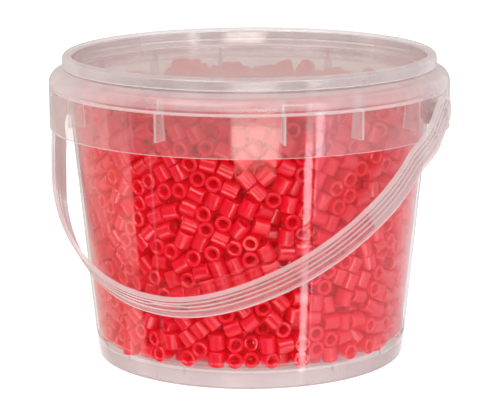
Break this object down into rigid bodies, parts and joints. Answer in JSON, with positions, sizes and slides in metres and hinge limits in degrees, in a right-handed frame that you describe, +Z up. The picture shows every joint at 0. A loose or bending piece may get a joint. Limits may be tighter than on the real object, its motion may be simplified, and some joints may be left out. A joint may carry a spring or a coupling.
{
  "type": "lidded tub with bail handle",
  "caption": "Clear round plastic tub with recessed snap lid and ribbed strap bail, filled with red tubular fuse beads.",
  "frame": {"origin": "centre of the foot ring, on the surface it stands on", "axes": "+Z up along the tub's axis, X along the bail's pivot line, the bail hanging towards -Y"},
  "size_m": [0.1306, 0.126, 0.0964],
  "materials": {
    "tub_clear": "clear polypropylene, glossy, slightly milky",
    "lid_clear": "clear polypropylene, glossy, slightly milky",
    "handle_clear": "natural polypropylene, milky, satin",
    "bead_red": "soft waxy gloss"
  },
  "bodies": {
    "tub": {"tub": "tub_clear", "bead_fill": "bead_red", "loose_bead_01": "bead_red", "loose_bead_02": "bead_red", "loose_bead_03": "bead_red", "loose_bead_04": "bead_red", "loose_bead_05": "bead_red", "loose_bead_06": "bead_red", "loose_bead_07": "bead_red", "loose_bead_08": "bead_red", "loose_bead_09": "bead_red", "loose_bead_10": "bead_red", "loose_bead_11": "bead_red", "loose_bead_12": "bead_red", "loose_bead_13": "bead_red", "loose_bead_14": "bead_red", "loose_bead_15": "bead_red", "loose_bead_16": "bead_red", "loose_bead_17": "bead_red", "loose_bead_18": "bead_red", "loose_bead_19": "bead_red", "loose_bead_20": "bead_red", "loose_bead_21": "bead_red", "loose_bead_22": "bead_red", "loose_bead_23": "bead_red", "loose_bead_24": "bead_red"},
    "lid": {"lid": "lid_clear"},
    "handle": {"handle": "handle_clear"}
  },
  "joints": [
    {"name": "handle_swing", "type": "hinge", "parent": "tub", "child": "handle", "pos_m": [0, 0, 0.0815], "axis": [-1, 0, 0], "range_deg": [0, 269]},
    {"name": "lid_lift", "type": "slide", "parent": "tub", "child": "lid", "axis": [0, 0, 1], "range_m": [0, 0.016]}
  ]
}
